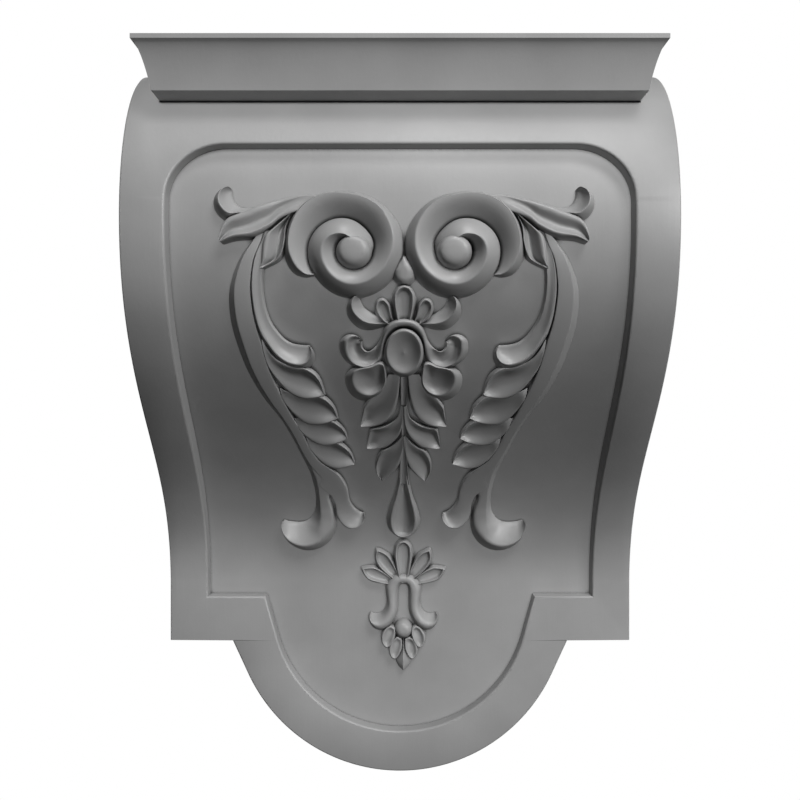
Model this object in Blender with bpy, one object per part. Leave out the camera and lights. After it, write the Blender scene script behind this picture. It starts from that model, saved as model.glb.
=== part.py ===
"""Carved bracket onlay: an S-shaped body with a sunk panel, a cove crown and applied acanthus ornament.

Metres, +Z up. The back lies on the plane Y = 0, the front looks towards -Y, and the origin is the middle
of the back. Depth is measured forward from the front of the flat tongue.
"""

import math

import bmesh
import bpy
import numpy as np
from mathutils import Matrix, Vector

MM = 0.001

# Body: the outline seen from the front
TOP = 150 * MM
BODY_HALF_WIDTH = 103.3 * MM
SHOULDER_HEIGHT = -91 * MM
SHOULDER_INNER_HALF_WIDTH = 75.4 * MM
TONGUE_CENTRE_HEIGHT = -74.7 * MM
TONGUE_RADIUS = 75.3 * MM

# Body: the S-shaped profile seen from the side
TONGUE_THICKNESS = 20 * MM
BELLY_HEIGHT = 85 * MM
BELLY_DEPTH = 92.5 * MM
ROLL_DEPTH = 57.9 * MM
TONGUE_START_HEIGHT = -67 * MM
BELLY_PULL = 73 * MM
TONGUE_PULL = 63 * MM
ROLL_STEPS = 12
SWEEP_STEPS = 22

# Sunk panel
PANEL_SINK = 8 * MM
PANEL_HALF_WIDTH = 86.4 * MM
PANEL_TOP = 112.1 * MM
PANEL_CORNER_RADIUS = 21 * MM
PANEL_STEP_HEIGHT = -71.3 * MM
PANEL_STEP_HALF_WIDTH = 60.5 * MM
PANEL_TONGUE_RADIUS = 57.3 * MM
ARC_STEP = math.radians(9)
SMOOTH_ANGLE = math.radians(30)

# Crown moulding
CROWN_HALF_WIDTH = 91.7 * MM
CROWN_DEPTH = 91 * MM
CROWN_BACK_DEPTH = 30 * MM
CROWN_BOTTOM = 131 * MM
COVE_TOP = 148.3 * MM
COVE_PROJECTION = 6.3 * MM
COVE_SLANT = 0.5
COVE_STEPS = 6

# Fits
JOINT_GAP = 0.3 * MM
CUTTER_REACH = 300 * MM
CUTTER_MARGIN = 5 * MM
WELD = 0.01 * MM

# Ornament
ORNAMENT_SHIFT = 1.5 * MM
ORNAMENT_FOOT = 3 * MM
STEPS_PER_SPAN = 2
LONG_STEPS_PER_SPAN = 1
HOLLOW_FADE = 0.25
END_HALF_WIDTH = 0.5

# Leaves: where they are widest, how full they are on either side of it, how far they bow, and their height
LEAF_STEPS = 6
LEAF_WIDEST = 0.66
LEAF_ROOT_FULLNESS = 1.2
LEAF_TIP_FULLNESS = 0.62
LEAF_BOW = 2.8
LEAF_ROOT_HEIGHT = 0.6
LEAF_CREST = 0.75

# Ovals: the height share at the edge of a domed one and how quickly it rises
OVAL_STEPS = 8
OVAL_END_HALF_WIDTH = 0.6
DOME_EDGE = 0.35
DOME_FULLNESS = 0.7

# Cross-sections of the carving: across from one edge to the other, height share, hollow share
ROUNDED = ((1, 0.3, 0), (0.72, 0.85, 0), (0, 1, 0), (-0.72, 0.85, 0), (-1, 0.3, 0))
DISHED = ((1, 0.45, 0), (0.8, 1, 0), (0, 1, 0.5), (-0.8, 1, 0), (-1, 0.45, 0))
LOOPED = ((1, 0.5, 0), (0.78, 1, 0), (0.45, 1, 0.6), (-0.45, 1, 0.6), (-0.78, 1, 0), (-1, 0.5, 0))
SHOULDERED = ((1, 0.1, 0), (0.45, 0.95, 0), (0, 1, 0), (-0.7, 0.85, 0), (-1, 0.55, 0))

# Centrelines of the left-hand carving in mm: out from the axis, up, half-width, height over the panel
STEM = (
    (54, 78, 1.5, 4), (58.7, 68, 3, 5), (61.3, 56, 4.5, 5.5), (60.5, 43.5, 5.1, 5.5),
    (56, 27, 4.5, 5.5), (46.7, 7, 3.9, 5), (37.2, -14, 3.7, 5), (35.5, -27, 3.3, 5),
    (36, -38, 5.8, 5.5), (45.5, -44.3, 6.1, 6.5), (51, -41.5, 4.2, 7.5), (53.3, -37, 0.6, 8),
)
BRANCH = (
    (34, -13, 3, 4.5), (28.7, -22.5, 3.5, 5), (25, -34, 4, 5.5), (20.6, -36.2, 3.1, 6.5),
    (17.4, -33.6, 0.6, 7.5),
)
BAND = (
    (52, 74, 0.8, 4), (54.9, 56.5, 2.1, 5.5), (51.5, 41.5, 3.2, 6), (43, 34, 5, 8), (38, 34, 4.4, 9),
    (35.8, 34.5, 2.4, 9.5),
)
FAR_CURL = (
    (56, 86.5, 2.2, 4), (61.4, 86.8, 2.8, 5), (65.8, 87.9, 3.7, 6.5), (67.7, 91.3, 3.3, 8),
    (65.9, 94.9, 1.7, 9),
)
UPPER_CURL = (
    (5.4, 46.6, 1.3, 4.5), (11, 46.9, 2.7, 6), (16.3, 48.7, 3.6, 7), (18.9, 52.3, 3.2, 8),
    (17.7, 56.5, 1.9, 8),
)
COLLAR = (
    (0, 46.3, 1.8, 6), (4.2, 45.3, 2, 6), (7.3, 42, 2.3, 6), (9.4, 37.5, 2.9, 6), (13.2, 34, 4, 7),
    (18.2, 33.7, 4.2, 8), (21.6, 36.8, 3.2, 9), (21, 39.8, 2, 9.5), (18.4, 40.6, 1.3, 9),
    (16, 39.4, 0.6, 8.5),
)
DROP_STEM = (
    (0, 30, 1.7, 4.5), (0, 0.5, 1.5, 4.5), (0, -13, 2.1, 5), (0, -23.7, 4.2, 5.5), (0, -32.2, 6.8, 6.5),
    (0, -38, 7.4, 6.5), (0, -42.8, 5, 6.5), (0, -44.9, 0.6, 6),
)
PENDANT_ARCH = (
    (0, -63.8, 2.4, 5.5), (3.7, -64.9, 2.6, 5.5), (5.4, -68.5, 3, 5.5), (5.2, -73.5, 3.1, 5.5),
    (6.4, -79, 3.7, 6), (10, -82.8, 3.7, 6), (13.2, -82, 2.6, 6.5), (14.8, -79, 0.6, 6.5),
)

# Leaves in mm: root out and up, tip out and up, half-width, height, bow to the lower side
SCROLL_LEAVES = (
    (54, 39, 31.5, 18.7, 6.2, 6, 3), (49.5, 22, 26.9, 9.3, 5.8, 6, 3),
    (45.2, 10.5, 23.5, 1.1, 5.6, 6, 2.8), (41.1, 1.7, 20.9, -10.6, 5.4, 6, 2.8),
)
CREST_LEAVES = ((33, 89.5, 68, 74.6, 5.6, 7, -3.5), (38, 86, 52.8, 65.4, 4.4, 7, -1.5))
DROP_LEAVES = (
    (3.2, 30, 17.7, 5.9, 5.3, 5.5, -5), (1.2, 16, 15.8, -3.6, 4.8, 5.5, -5),
    (0.8, 3, 9.4, -18.6, 4.9, 5.5, -1.5),
)
BLOSSOM_PETALS = ((4, 45.5, 9.2, 56, 3.1, 6, -1),)
PENDANT_PETALS = ((4, -65, 12.3, -50, 3.5, 5, 0), (5, -67, 19.3, -59.3, 3.5, 5, 0))

# Ovals in mm: centre out and up, half-width, half-length, lean in degrees, height
BOSS = (0, 35.6, 7.7, 9.2, 0, 9)
BEAD = (0, 65.5, 4.4, 5.6, 0, 6)
LOBE = (15.1, 23.1, 6.4, 8.2, 75, 7)
CENTRE_PETAL = (0, 52, 4.5, 8.4, 0, 6.5)
PENDANT_TOP_PETAL = (0, -54.5, 4.6, 8.6, 0, 5.5)
BALL = (0, -86.9, 4.3, 4.3, 0, 6.5)
BUDS = ((6.9, -90.3, 3.2, 5, 15, 5), (3.6, -95.5, 3.3, 5.2, 12, 4.8))
LAST_BUD = (0, -89.5, 0, -105.7, 3.4, 4.5, 0)

# Volute: its centre, its outer radius at each quarter turn from the outer side, and its heights, all in mm.
# The crest and the channel rise inwards between two turns. The section goes across the coil from the outer
# edge: share of the coil's breadth, share of the crest's height
VOLUTE_CENTRE = (20.8, 75.1)
VOLUTE_RADII = (22.9, 19.9, 20.9, 19.6, 15.2, 10.6, 9.8, 9.2, 5.5, 3)
VOLUTE_START = -0.45
VOLUTE_END = 6.4
VOLUTE_CREST = (8, 10.5)
VOLUTE_CHANNEL = (4, 6)
VOLUTE_RISE = (2, 5)
VOLUTE_SHOULDER = ((0, 0.4), (0.16, 0.93), (0.28, 1))
VOLUTE_MIDDLE = 0.6
VOLUTE_UNDERLAP = 1.2
VOLUTE_LEAST_RADIUS = 1.5
VOLUTE_RADIUS_STEPS = 6
VOLUTE_STEPS = 26
EYE = (18.6, 71.6, 6.1, 6.1, 0, 11)


def bezier(share, first, second, third, last):
    rest = 1 - share
    return rest**3 * first + 3 * rest**2 * share * second + 3 * rest * share**2 * third + share**3 * last


def face_profile():
    """Heights and depths of the front face, from the top of the body down to where the tongue is flat."""
    turn = np.linspace(math.pi / 2, 0, ROLL_STEPS, endpoint=False)
    roll_height = BELLY_HEIGHT + (TOP - BELLY_HEIGHT) * np.sin(turn)
    roll_depth = BELLY_DEPTH - ROLL_DEPTH * (1 - np.cos(turn))
    share = np.linspace(0, 1, SWEEP_STEPS)
    sweep_height = bezier(
        share, BELLY_HEIGHT, BELLY_HEIGHT - BELLY_PULL, TONGUE_START_HEIGHT + TONGUE_PULL, TONGUE_START_HEIGHT
    )
    sweep_depth = bezier(share, BELLY_DEPTH, BELLY_DEPTH, 0, 0)
    return np.concatenate([roll_height, sweep_height]), np.concatenate([roll_depth, sweep_depth])


def offset_profile(sink):
    """The face profile moved into the wood by sink, square to itself."""
    heights, depths = face_profile()
    rise, run = np.gradient(heights), np.gradient(depths)
    rise[-1], run[-1] = -1, 0
    length = np.hypot(rise, run)
    return heights - sink * run / length, depths + sink * rise / length


PANEL_HEIGHTS, PANEL_DEPTHS = offset_profile(PANEL_SINK)
PANEL_SLOPES = np.gradient(PANEL_DEPTHS, PANEL_HEIGHTS)


def on_panel(side, out, up, height):
    """A point of the ornament: out from its axis, up, and height square to the panel's surface."""
    depth = np.interp(up, PANEL_HEIGHTS[::-1], PANEL_DEPTHS[::-1])
    slope = np.interp(up, PANEL_HEIGHTS[::-1], PANEL_SLOPES[::-1])
    forward = TONGUE_THICKNESS + depth + height * math.hypot(1, slope)
    return Vector((ORNAMENT_SHIFT + side * out, -forward, up))


def collection_named(name):
    collection = bpy.data.collections.new(name)
    bpy.context.scene.collection.children.link(collection)
    return collection


def clay_paint():
    material = bpy.data.materials.new("satin_grey_paint")
    material.use_nodes = True
    shader = material.node_tree.nodes["Principled BSDF"]
    shader.inputs["Base Color"].default_value = (0.24, 0.24, 0.24, 1)
    shader.inputs["Roughness"].default_value = 0.45
    shader.inputs["Metallic"].default_value = 0
    return material


def mesh_object(name, mesh, collection):
    made = bpy.data.objects.new(name, mesh)
    collection.objects.link(made)
    return made


def prism(name, outline, half_length, axes, collection):
    """A flat outline, given as pairs along the first two axes, made thick along the third."""
    curve = bpy.data.curves.new(name, "CURVE")
    curve.dimensions = "2D"
    curve.fill_mode = "BOTH"
    curve.extrude = half_length
    drawing = curve.splines.new("POLY")
    drawing.points.add(len(outline) - 1)
    for point, (across, along) in zip(drawing.points, outline):
        point.co = (across, along, 0, 1)
    drawing.use_cyclic_u = True
    drawn = bpy.data.objects.new(name, curve)
    collection.objects.link(drawn)
    drawn.matrix_world = Matrix(axes).transposed().to_4x4()
    bpy.context.view_layer.update()
    evaluated = drawn.evaluated_get(bpy.context.evaluated_depsgraph_get())
    mesh = bpy.data.meshes.new_from_object(evaluated)
    placed = drawn.matrix_world.copy()
    bpy.data.objects.remove(drawn)
    bpy.data.curves.remove(curve)
    weld = bmesh.new()
    weld.from_mesh(mesh)
    bmesh.ops.remove_doubles(weld, verts=weld.verts, dist=WELD)
    bmesh.ops.recalc_face_normals(weld, faces=weld.faces)
    weld.to_mesh(mesh)
    weld.free()
    solid = mesh_object(name, mesh, collection)
    solid.matrix_world = placed
    return solid


SIDE_AXES = ((0, 1, 0), (0, 0, 1), (1, 0, 0))
FRONT_AXES = ((1, 0, 0), (0, 0, 1), (0, -1, 0))


def loft(rings, mesh_builder):
    """One closed shell through rings of equal count, capped at both ends."""
    rows = [[mesh_builder.verts.new(point) for point in ring] for ring in rings]
    count = len(rows[0])
    faces = [mesh_builder.faces.new(rows[0]), mesh_builder.faces.new(rows[-1])]
    for near, far in zip(rows, rows[1:]):
        for i in range(count):
            j = (i + 1) % count
            faces.append(mesh_builder.faces.new((near[i], near[j], far[j], far[i])))
    bmesh.ops.recalc_face_normals(mesh_builder, faces=faces)


def tongue_arc(step_half_width, step_height, radius):
    """From the right end of the step, round the tongue, to its left end: a tangent, the arc and a tangent.

    The count is even, so that one point is the lowest of the circle.
    """
    rise = step_height - TONGUE_CENTRE_HEIGHT
    away = math.hypot(step_half_width, rise)
    touch = math.atan2(rise, step_half_width) - math.acos(radius / away)
    count = 2 * round((math.pi + 2 * touch) / (2 * ARC_STEP))
    turns = np.linspace(touch, -math.pi - touch, count + 1)
    arc = [(radius * math.cos(a), TONGUE_CENTRE_HEIGHT + radius * math.sin(a)) for a in turns]
    return [(step_half_width, step_height), *arc, (-step_half_width, step_height)]


def body_outline():
    return [
        (-BODY_HALF_WIDTH, SHOULDER_HEIGHT),
        (-BODY_HALF_WIDTH, TOP + CUTTER_MARGIN),
        (BODY_HALF_WIDTH, TOP + CUTTER_MARGIN),
        (BODY_HALF_WIDTH, SHOULDER_HEIGHT),
        *tongue_arc(SHOULDER_INNER_HALF_WIDTH, SHOULDER_HEIGHT, TONGUE_RADIUS),
    ]


def panel_outline():
    count = round(math.pi / 2 / ARC_STEP)
    turns = np.linspace(0, math.pi / 2, count + 1)
    inset, top = PANEL_HALF_WIDTH - PANEL_CORNER_RADIUS, PANEL_TOP - PANEL_CORNER_RADIUS
    radius = PANEL_CORNER_RADIUS
    corner = [(inset + radius * math.cos(a), top + radius * math.sin(a)) for a in turns]
    return [
        *[(-across, up) for across, up in corner],
        *reversed(corner),
        (PANEL_HALF_WIDTH, PANEL_STEP_HEIGHT),
        *tongue_arc(PANEL_STEP_HALF_WIDTH, PANEL_STEP_HEIGHT, PANEL_TONGUE_RADIUS),
        (-PANEL_HALF_WIDTH, PANEL_STEP_HEIGHT),
    ]


def front_region(name, sink, half_length, collection):
    """All the space in front of the face profile sunk by this much."""
    heights, depths = offset_profile(sink)
    surface = [(-(TONGUE_THICKNESS + depth), height) for height, depth in zip(heights, depths)]
    far = -CUTTER_REACH
    outline = [
        (far, heights[0] + CUTTER_REACH),
        (surface[0][0], heights[0] + CUTTER_REACH),
        *surface,
        (surface[-1][0], -CUTTER_REACH),
        (far, -CUTTER_REACH),
    ]
    return prism(name, outline, half_length, SIDE_AXES, collection)


def add_boolean(target, operation, cutter):
    """Keeps the modifier live. The cutter is only drawn as wire."""
    cutter.hide_render = True
    cutter.display_type = "WIRE"
    modifier = target.modifiers.new(f"{operation.lower()}_{cutter.name}", "BOOLEAN")
    modifier.operation = operation
    modifier.object = cutter
    return modifier


def crown_rings(grow):
    """Rectangles from the underside up: a cove that projects at the front and both sides, then a fillet."""
    back = -(TONGUE_THICKNESS + CROWN_BACK_DEPTH - grow)
    shares = [step / COVE_STEPS for step in range(COVE_STEPS + 1)]
    levels = [(share, CROWN_BOTTOM + (COVE_TOP - CROWN_BOTTOM) * share) for share in shares]
    levels[0] = (0, CROWN_BOTTOM - grow)
    levels.append((1, TOP + grow))
    rings = []
    for share, height in levels:
        hollow = 1 - math.sqrt(1 - share * share)
        project = COVE_PROJECTION * (COVE_SLANT * share + (1 - COVE_SLANT) * hollow)
        wide = CROWN_HALF_WIDTH + project + grow
        front = -(TONGUE_THICKNESS + CROWN_DEPTH + project + grow)
        corners = ((-wide, front), (wide, front), (wide, back), (-wide, back))
        rings.append([(*corner, height) for corner in corners])
    return rings


def lofted(name, rings, collection):
    builder = bmesh.new()
    loft(rings, builder)
    mesh = bpy.data.meshes.new(name)
    builder.to_mesh(mesh)
    builder.free()
    return mesh_object(name, mesh, collection)


def spline(stations, steps):
    """Catmull-Rom through the stations, with this many steps a span."""
    given = np.array(stations, float)
    padded = np.vstack([2 * given[0] - given[1], given, 2 * given[-1] - given[-2]])
    points = []
    for i in range(len(given) - 1):
        a, b, c, d = padded[i : i + 4]
        for step in range(steps):
            t = step / steps
            bent = (2 * a - 5 * b + 4 * c - d) * t**2 + (3 * b - a - 3 * c + d) * t**3
            points.append(0.5 * (2 * b + (c - a) * t + bent))
    points.append(given[-1])
    return np.array(points)


def ribbon(builder, side, stations, section, hollow_ends=(0, HOLLOW_FADE)):
    """A strip of carving along a centreline of (out, up, half-width, height), its foot below the panel."""
    count = len(stations)
    ways = np.gradient(stations[:, :2], axis=0)
    ways /= np.linalg.norm(ways, axis=1)[:, None]
    rings = []
    for i, ((out, up, half_width, height), (along_out, along_up)) in enumerate(zip(stations, ways)):
        share = i / (count - 1)
        fades = [min(1, reach / end) if end else 1 for reach, end in zip((share, 1 - share), hollow_ends)]
        hollow = math.sqrt(fades[0] * fades[1])
        marks = [(section[0][0], -ORNAMENT_FOOT)]
        marks += [(across, height * MM * (level - dip * hollow)) for across, level, dip in section]
        marks.append((section[-1][0], -ORNAMENT_FOOT))
        ring = []
        for across, tall in marks:
            aside = across * half_width
            ring.append(on_panel(side, (out - along_up * aside) * MM, (up + along_out * aside) * MM, tall))
        rings.append(ring)
    loft(rings, builder)


def leaf(builder, side, root_out, root_up, tip_out, tip_up, half_width, height, bow, section=DISHED):
    """A pointed leaf, widest beyond its middle, rising from its root."""
    span = Vector((tip_out - root_out, tip_up - root_up))
    aside = Vector((-span.y, span.x)).normalized() * bow
    stations = []
    for step in range(LEAF_STEPS + 1):
        t = step / LEAF_STEPS
        place = Vector((root_out, root_up)) + span * t - aside * LEAF_BOW * t * (1 - t)
        full = (t / LEAF_WIDEST) ** LEAF_ROOT_FULLNESS * ((1 - t) / (1 - LEAF_WIDEST)) ** LEAF_TIP_FULLNESS
        rise = LEAF_ROOT_HEIGHT + (1 - LEAF_ROOT_HEIGHT) * math.sin(math.pi * LEAF_CREST * t)
        stations.append((place.x, place.y, max(END_HALF_WIDTH, half_width * full), height * rise))
    ribbon(builder, side, np.array(stations), section)


def oval(builder, side, out, up, half_width, half_length, lean, height, section=ROUNDED):
    """A rounded or dished oval, its length leaning outward from upright."""
    turn = math.radians(lean)
    stations = []
    for step in range(OVAL_STEPS + 1):
        angle = math.pi * step / OVAL_STEPS
        reach = -math.cos(angle) * half_length
        wide = max(OVAL_END_HALF_WIDTH, math.sin(angle) * half_width)
        dome = DOME_EDGE + (1 - DOME_EDGE) * max(0, math.sin(angle)) ** DOME_FULLNESS
        lift = dome if section is ROUNDED else 1
        stations.append((out + reach * math.sin(turn), up + reach * math.cos(turn), wide, height * lift))
    ribbon(builder, side, np.array(stations), section, hollow_ends=(HOLLOW_FADE, HOLLOW_FADE))


def volute(builder, side):
    """The scroll's coils: a crest near the outer edge, a channel that runs in under the next coil."""
    radii = spline(list(enumerate(VOLUTE_RADII)), VOLUTE_RADIUS_STEPS)
    rings = []
    for turn in np.linspace(VOLUTE_START, VOLUTE_END, VOLUTE_STEPS):
        outer = np.interp(turn, radii[:, 0], radii[:, 1])
        inner = max(VOLUTE_LEAST_RADIUS, np.interp(turn + 4, radii[:, 0], radii[:, 1]) - VOLUTE_UNDERLAP)
        crest = np.interp(turn, VOLUTE_RISE, VOLUTE_CREST)
        channel = np.interp(turn, VOLUTE_RISE, VOLUTE_CHANNEL)
        band = outer - inner
        foot = -ORNAMENT_FOOT / MM
        marks = [(outer, foot)]
        marks += [(outer - inset * band, level * crest) for inset, level in VOLUTE_SHOULDER]
        marks += [(outer - VOLUTE_MIDDLE * band, (crest + channel) / 2), (inner, channel), (inner, foot)]
        angle = turn * math.pi / 2
        rings.append([
            on_panel(
                side,
                (VOLUTE_CENTRE[0] + math.cos(angle) * radius) * MM,
                (VOLUTE_CENTRE[1] + math.sin(angle) * radius) * MM,
                tall * MM,
            )
            for radius, tall in marks
        ])
    loft(rings, builder)


def both_ways(stations):
    """A centreline that starts on the axis, carried over to its mirror image."""
    other_half = [(-out, up, half_width, height) for out, up, half_width, height in reversed(stations[1:])]
    return [*other_half, *stations]


def scroll(builder, side):
    ribbon(builder, side, spline(STEM, STEPS_PER_SPAN), SHOULDERED)
    ribbon(builder, side, spline(BRANCH, STEPS_PER_SPAN), ROUNDED)
    ribbon(builder, side, spline(BAND, STEPS_PER_SPAN), DISHED, hollow_ends=(0, 0.12))
    ribbon(builder, side, spline(FAR_CURL, STEPS_PER_SPAN), DISHED)
    for shape in (*SCROLL_LEAVES, *CREST_LEAVES):
        leaf(builder, side, *shape)
    volute(builder, side)
    oval(builder, side, *EYE)


def flower_drop(builder):
    for side in (-1, 1):
        ribbon(builder, side, spline(UPPER_CURL, STEPS_PER_SPAN), DISHED)
        oval(builder, side, *LOBE, section=DISHED)
        for shape in BLOSSOM_PETALS:
            leaf(builder, side, *shape, section=LOOPED)
        for shape in DROP_LEAVES:
            leaf(builder, side, *shape)
    ribbon(builder, 1, spline(both_ways(COLLAR), LONG_STEPS_PER_SPAN), ROUNDED)
    ribbon(builder, 1, spline(DROP_STEM, LONG_STEPS_PER_SPAN), DISHED, hollow_ends=(0, 0.15))
    oval(builder, 1, *BEAD)
    oval(builder, 1, *CENTRE_PETAL, section=LOOPED)
    oval(builder, 1, *BOSS, section=DISHED)


def pendant(builder):
    for side in (-1, 1):
        for shape in PENDANT_PETALS:
            leaf(builder, side, *shape, section=LOOPED)
        for shape in BUDS:
            oval(builder, side, *shape)
    ribbon(builder, 1, spline(both_ways(PENDANT_ARCH), LONG_STEPS_PER_SPAN), ROUNDED)
    oval(builder, 1, *PENDANT_TOP_PETAL, section=LOOPED)
    leaf(builder, 1, *LAST_BUD, section=ROUNDED)
    oval(builder, 1, *BALL)


def carving(name, builder, seat, collection):
    """Joins the overlapping shells and cuts their feet off along the panel."""
    mesh = bpy.data.meshes.new(name)
    builder.to_mesh(mesh)
    builder.free()
    carved = mesh_object(name, mesh, collection)
    join = add_boolean(carved, "INTERSECT", seat)
    join.use_self = True
    return carved


def make_body(parts, cutters):
    heights, depths = face_profile()
    face = [(-(TONGUE_THICKNESS + depth), height) for height, depth in zip(heights, depths)]
    bottom = TONGUE_CENTRE_HEIGHT - TONGUE_RADIUS
    profile = [(0, TOP), *face, (-TONGUE_THICKNESS, bottom - CUTTER_MARGIN), (0, bottom - CUTTER_MARGIN)]
    body = prism("body", profile, BODY_HALF_WIDTH + CUTTER_MARGIN, SIDE_AXES, parts)
    outline = prism("body_outline", body_outline(), CUTTER_REACH, FRONT_AXES, cutters)
    pocket = front_region("panel_pocket", PANEL_SINK, BODY_HALF_WIDTH, cutters)
    pocket_outline = prism("panel_outline", panel_outline(), CUTTER_REACH, FRONT_AXES, cutters)
    crown_seat = lofted("crown_seat", crown_rings(JOINT_GAP), cutters)
    add_boolean(pocket, "INTERSECT", pocket_outline)
    add_boolean(body, "INTERSECT", outline)
    add_boolean(body, "DIFFERENCE", pocket)
    add_boolean(body, "DIFFERENCE", crown_seat)
    return body


def make_ornaments(parts, cutters):
    seat = front_region("ornament_seat", PANEL_SINK - JOINT_GAP, BODY_HALF_WIDTH, cutters)
    upper = bmesh.new()
    for side in (-1, 1):
        scroll(upper, side)
    flower_drop(upper)
    lower = bmesh.new()
    pendant(lower)
    return carving("acanthus_scrolls", upper, seat, parts), carving("lower_pendant", lower, seat, parts)


def main():
    for old in list(bpy.data.objects):
        bpy.data.objects.remove(old)
    parts = collection_named("bracket_onlay")
    cutters = collection_named("cutters")
    paint = clay_paint()
    crown = lofted("crown", crown_rings(0), parts)
    pieces = [make_body(parts, cutters), crown, *make_ornaments(parts, cutters)]
    for piece in pieces:
        piece.data.materials.append(paint)
        piece.data.shade_smooth()
        piece.data.set_sharp_from_angle(angle=SMOOTH_ANGLE)


main()
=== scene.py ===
"""The looks of a carved bracket onlay: a fine-surfaced body, crown and applied acanthus ornament.

Metres, +Z up. The back lies on the plane Y = 0 and the front looks towards -Y. Depth is measured forward
from the front of the flat tongue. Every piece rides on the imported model's one body.
"""

import math

import bmesh
import bpy
import numpy as np
from bpy.props import FloatProperty, FloatVectorProperty, IntProperty, PointerProperty
from mathutils import Matrix, Vector


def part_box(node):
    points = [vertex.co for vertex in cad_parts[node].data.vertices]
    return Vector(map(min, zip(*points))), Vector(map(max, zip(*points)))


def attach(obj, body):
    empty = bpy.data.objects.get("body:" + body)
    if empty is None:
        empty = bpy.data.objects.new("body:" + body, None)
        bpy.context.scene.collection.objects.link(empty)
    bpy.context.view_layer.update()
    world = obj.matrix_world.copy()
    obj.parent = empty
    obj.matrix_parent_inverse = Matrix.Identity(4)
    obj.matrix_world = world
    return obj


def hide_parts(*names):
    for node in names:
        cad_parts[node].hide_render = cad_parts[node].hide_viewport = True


bl_info = {
    "name": "Carved bracket onlay",
    "version": (1, 0, 0),
    "blender": (4, 5, 0),
    "location": "View3D > Sidebar > Onlay",
    "description": "Dresses a carved, painted bracket onlay and lights it",
    "category": "Object",
}

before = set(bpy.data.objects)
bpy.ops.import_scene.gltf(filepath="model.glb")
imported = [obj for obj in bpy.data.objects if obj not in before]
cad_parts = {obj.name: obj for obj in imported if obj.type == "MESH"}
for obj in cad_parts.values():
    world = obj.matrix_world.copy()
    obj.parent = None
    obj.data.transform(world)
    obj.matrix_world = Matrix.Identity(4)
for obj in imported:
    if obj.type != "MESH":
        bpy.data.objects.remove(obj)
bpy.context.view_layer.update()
BODY = "root"
BODY_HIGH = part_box("body")[1]
CROWN_LOW, CROWN_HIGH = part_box("crown")
MM = 0.001

# Distances under which points or heights count as the same, and an angle under which faces are one
WELD = 0.000001
TOUCH = 0.00001
NEAR = 0.0001
FLAT_ANGLE = 0.01

# Least difference in how far two faces look forward, where one of them looks sideways
SIDEWAYS = 0.9

# How far the tangents beside the panel's tongue may lie outside its arc
TANGENT_REACH = 0.006

# Steps of the face's roll and sweep, of arcs, corners and the cove, and of each span of a section
ROLL_STEPS = 44
SWEEP_STEPS = 80
ARC_STEPS = 72
CORNER_STEPS = 24
COVE_STEPS = 24
TABLE_STEPS = 6

# Share of the cove's width that is a straight slant
COVE_SLANT = 0.5

# Sockets of a Mix node in colour mode
FIRST_COLOUR = 6
SECOND_COLOUR = 7
MIXED_COLOUR = 2

# Openness of a hollow where the painted shade starts and is full, and what brush marks add to roughness
PAINTED_SHADE_OPENNESS = (0.62, 0.22)
ROUGHNESS_CHANGE = (-0.05, 0.07)

# Least half-width of a closed form in mm, or its square where the ends are round
THINNEST = 0.01
NO_SHIFT = (0, 0)

# Share of a strip's greatest width under which its section levels out
LEVEL_WIDTH = 0.75

# Cross-sections of the carving from its plus edge to its minus edge: across, height share
ROUND = (
    (1, 0.05), (0.97, 0.35), (0.85, 0.65), (0.5, 0.92), (0, 1), (-0.5, 0.92), (-0.85, 0.65), (-0.97, 0.35),
    (-1, 0.05),
)
WALLED = (
    (1, 0), (0.85, 0.27), (0.7, 0.54), (0.55, 0.8), (0.46, 0.93), (0.38, 0.99), (0.2, 1), (-0.3, 1),
    (-0.8, 0.98), (-0.95, 0.9), (-1, 0.5),
)
SCOOPED = (
    (1, 0.1), (0.97, 0.6), (0.92, 0.94), (0.85, 1), (0.7, 0.95), (0.4, 0.82), (0, 0.68), (-0.4, 0.55),
    (-0.8, 0.45), (-0.97, 0.35), (-1, 0.1),
)
CURLED = (
    (1, 0), (0.92, 0.32), (0.76, 0.62), (0.52, 0.85), (0.32, 0.97), (0.24, 1), (0.17, 0.97), (0.04, 0.84),
    (-0.15, 0.64), (-0.4, 0.46), (-0.7, 0.32), (-0.9, 0.22), (-1, 0.05),
)
CUPPED = (
    (1, 0), (0.95, 0.25), (0.86, 0.55), (0.76, 0.83), (0.66, 0.98), (0.58, 1), (0.49, 0.97), (0.25, 0.83),
    (-0.15, 0.66), (-0.6, 0.55), (-0.95, 0.48), (-1, 0.2),
)
BANDED = (
    (1, 0.3), (0.97, 0.85), (0.9, 1), (0.8, 0.99), (0.6, 0.93), (0.3, 0.88), (0, 0.85), (-0.3, 0.85),
    (-0.6, 0.88), (-0.85, 0.84), (-1, 0.3),
)
HOOKED = (
    (1, 0.1), (0.8, 0.3), (0.5, 0.5), (0.2, 0.68), (-0.1, 0.84), (-0.35, 0.95), (-0.5, 1), (-0.62, 0.96),
    (-0.78, 0.72), (-0.93, 0.35), (-1, 0),
)
TUSKED = (
    (1, 0.05), (0.85, 0.16), (0.6, 0.34), (0.3, 0.6), (0.05, 0.84), (-0.16, 0.98), (-0.28, 1), (-0.5, 0.92),
    (-0.75, 0.66), (-0.93, 0.32), (-1, 0),
)
JOINED = (
    (1, 0.7), (0.97, 0.97), (0.9, 1), (0.7, 1), (0.4, 1), (0, 1), (-0.4, 1), (-0.8, 0.98), (-0.95, 0.9),
    (-1, 0.5),
)
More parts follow.
